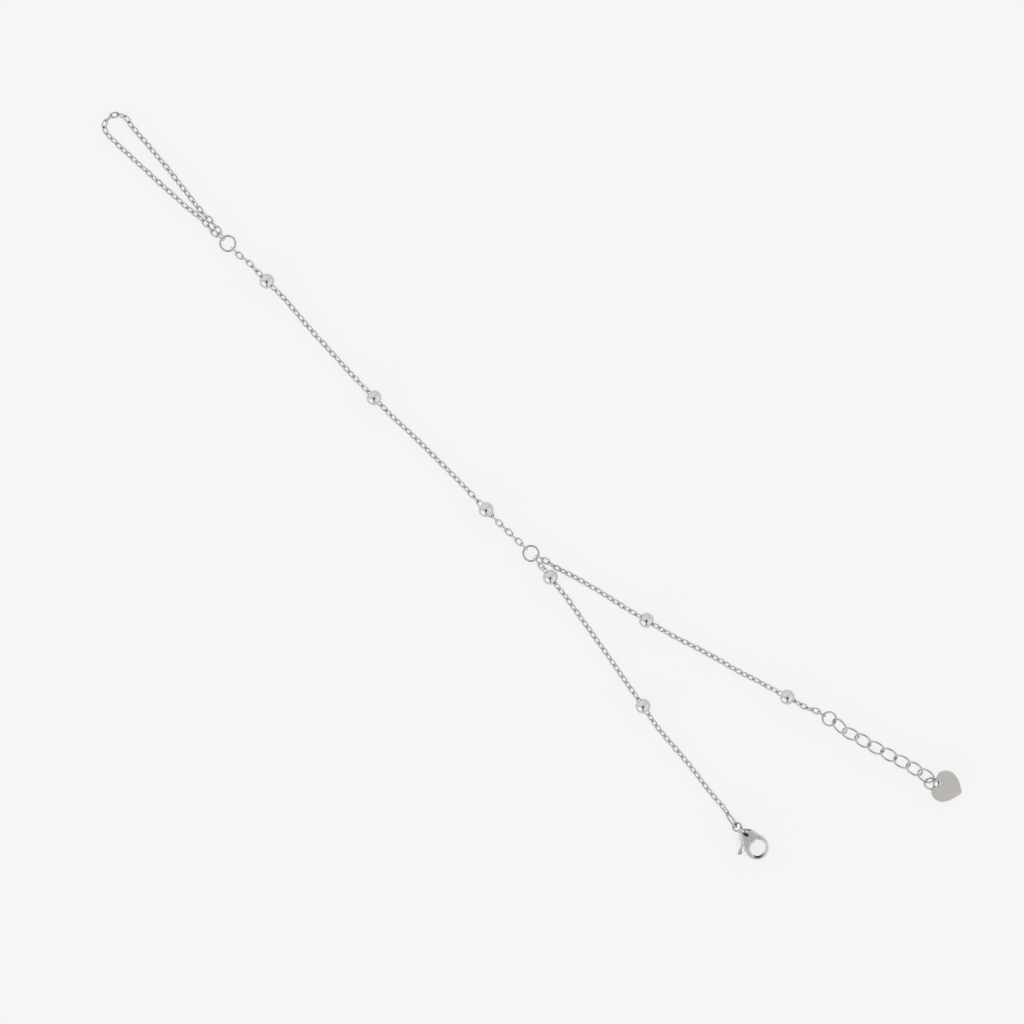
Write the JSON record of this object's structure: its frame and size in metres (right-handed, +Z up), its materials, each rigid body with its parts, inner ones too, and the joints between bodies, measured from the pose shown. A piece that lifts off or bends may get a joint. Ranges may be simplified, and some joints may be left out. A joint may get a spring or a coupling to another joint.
{
  "type": "hand chain",
  "caption": "Hand chain of fine steel cable links and polished balls, with a finger loop, a lobster clasp and an extender chain that ends in a plain heart tag.",
  "frame": {"origin": "centre of the whole part's outline on the surface it lies on", "axes": "+Z up from the surface, +Y from the wrist end to the finger loop along the hand chain, +X across to the extender side"},
  "size_m": [0.0414, 0.2124, 0.0036],
  "materials": {
    "chain_steel": "bright polished stainless wire, lightly tumbled",
    "ball_steel": "mirror-polished stainless steel with fine handling marks",
    "ring_steel": "polished stainless wire",
    "clasp_steel": "cast and tumbled stainless steel, satin with brighter edges",
    "tag_steel": "stamped stainless sheet, soft satin"
  },
  "bodies": {
    "chain": {"finger_loop_chain": "chain_steel", "finger_ring": "ring_steel", "hand_chain": "chain_steel", "hand_ball_1": "ball_steel", "hand_ball_2": "ball_steel", "hand_ball_3": "ball_steel", "wrist_ring": "ring_steel", "clasp_side_chain": "chain_steel", "clasp_side_ball_1": "ball_steel", "clasp_side_ball_2": "ball_steel", "clasp_ring": "ring_steel", "clasp_body": "clasp_steel", "extender_side_chain": "chain_steel", "extender_side_ball_1": "ball_steel", "extender_side_ball_2": "ball_steel", "extender_ring": "ring_steel", "extender_link_1": "ring_steel", "extender_link_2": "ring_steel", "extender_link_3": "ring_steel", "extender_link_4": "ring_steel", "extender_link_5": "ring_steel", "extender_link_6": "ring_steel", "extender_link_7": "ring_steel", "extender_link_8": "ring_steel", "tag_ring": "ring_steel", "heart_tag": "tag_steel"},
    "lever": {"clasp_lever": "clasp_steel"}
  },
  "joints": [
    {"name": "clasp_lever_pivot", "type": "hinge", "parent": "chain", "child": "lever", "pos_m": [-0.01724, -0.08203, 0.00115], "axis": [0, 0, -1], "range_deg": [0, 20], "stiffness_Nm_per_rad": 0.001, "springref_deg": -17.19}
  ]
}
